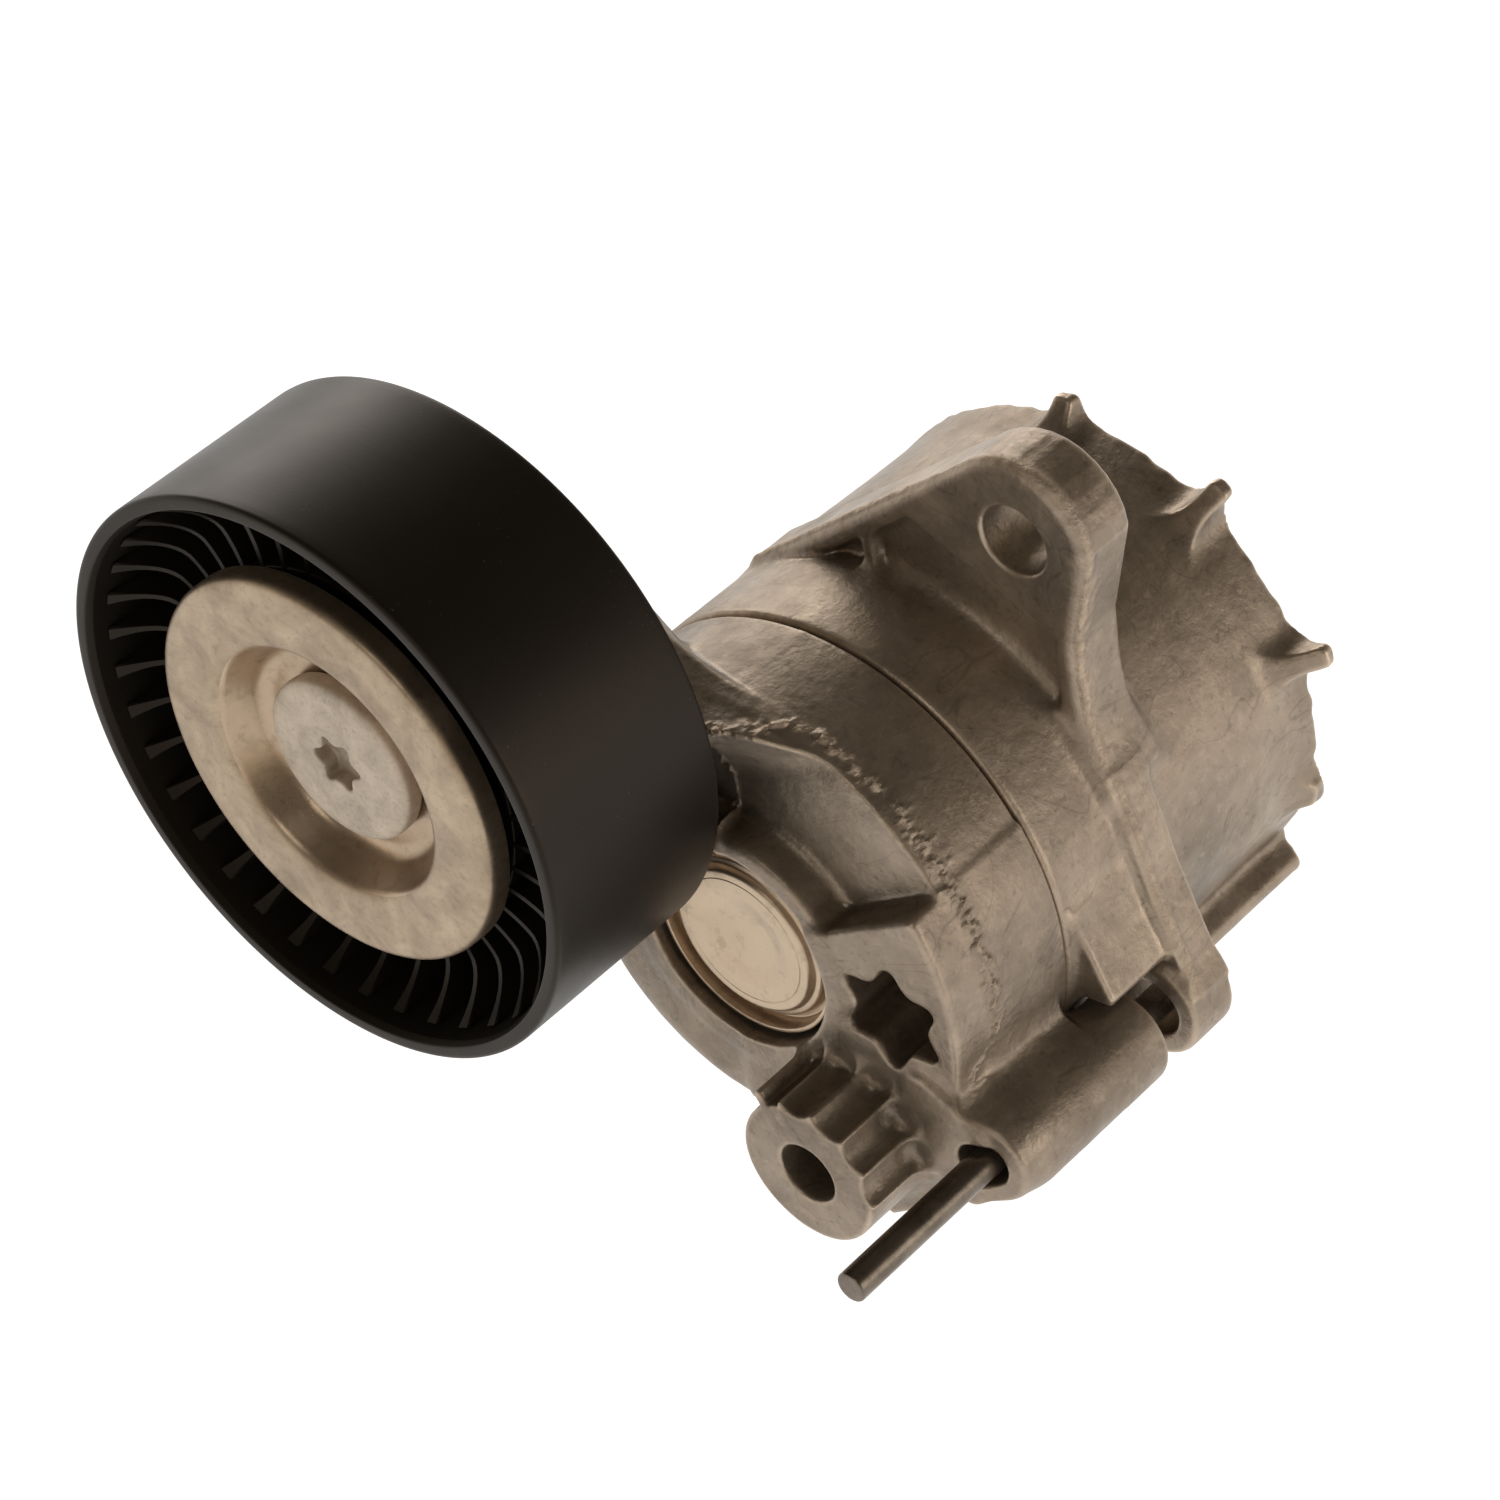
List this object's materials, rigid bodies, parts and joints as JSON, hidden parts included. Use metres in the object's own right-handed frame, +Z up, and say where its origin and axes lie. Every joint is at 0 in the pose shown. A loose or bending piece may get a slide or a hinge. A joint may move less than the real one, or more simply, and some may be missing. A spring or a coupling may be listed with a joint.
{
  "type": "belt tensioner idler",
  "caption": "Accessory belt tensioner: smooth backside idler pulley on a sprung, damped swing arm with a lock pin and a two-eared bolt-on housing.",
  "frame": {"origin": "centre of the housing's back face, on the swing axis", "axes": "+Y along the swing axis, out of the back face towards the engine; -Y is the front, where the pulley is; +Z up"},
  "size_m": [0.1092, 0.0956, 0.1168],
  "materials": {
    "cast_aluminium": "as-cast",
    "black_nylon": "satin",
    "zinc_steel": "zinc plated",
    "bolt_steel": "zinc flake",
    "bright_steel": "satin",
    "pin_steel": "bright drawn",
    "spring_steel": "oiled",
    "bearing_steel": "ground",
    "black_rubber": "moulded",
    "white_nylon": "moulded"
  },
  "bodies": {
    "base": {"base_housing": "cast_aluminium", "housing_pin_lug": "cast_aluminium", "pivot_shaft": "bearing_steel", "retaining_plate": "zinc_steel", "front_cap": "bright_steel", "thrust_washer": "white_nylon", "friction_liner": "white_nylon", "spring_seat": "white_nylon", "torsion_spring": "spring_steel"},
    "arm": {"arm_casting": "cast_aluminium", "pivot_bush": "white_nylon", "friction_disc": "bearing_steel", "damper_sleeve": "bearing_steel", "pulley_bolt": "bolt_steel", "dust_cover": "zinc_steel", "rear_shield": "zinc_steel", "bearing_inner_ring": "bearing_steel"},
    "pulley": {"pulley_wheel": "black_nylon", "bearing_outer_ring": "bearing_steel", "bearing_balls": "bearing_steel", "bearing_cage": "white_nylon", "bearing_seal_front": "black_rubber", "bearing_seal_rear": "black_rubber"},
    "lock_pin": {"lock_pin": "pin_steel"}
  },
  "joints": [
    {"name": "arm_swing", "type": "hinge", "parent": "base", "child": "arm", "pos_m": [0, -0.0465, 0], "axis": [0, 1, 0], "range_deg": [0, 50]},
    {"name": "pulley_spin", "type": "hinge", "parent": "arm", "child": "pulley", "pos_m": [-0.03278, -0.0829, 0.02673], "axis": [0, 1, 0], "continuous": true},
    {"name": "pin_pull", "type": "slide", "parent": "arm", "child": "lock_pin", "axis": [0, -1, 0], "range_m": [0, 0.09]}
  ],
  "couplings": [
    {"joint": "pin_pull", "follows": "arm_swing", "m_per_rad": 0.10313}
  ]
}
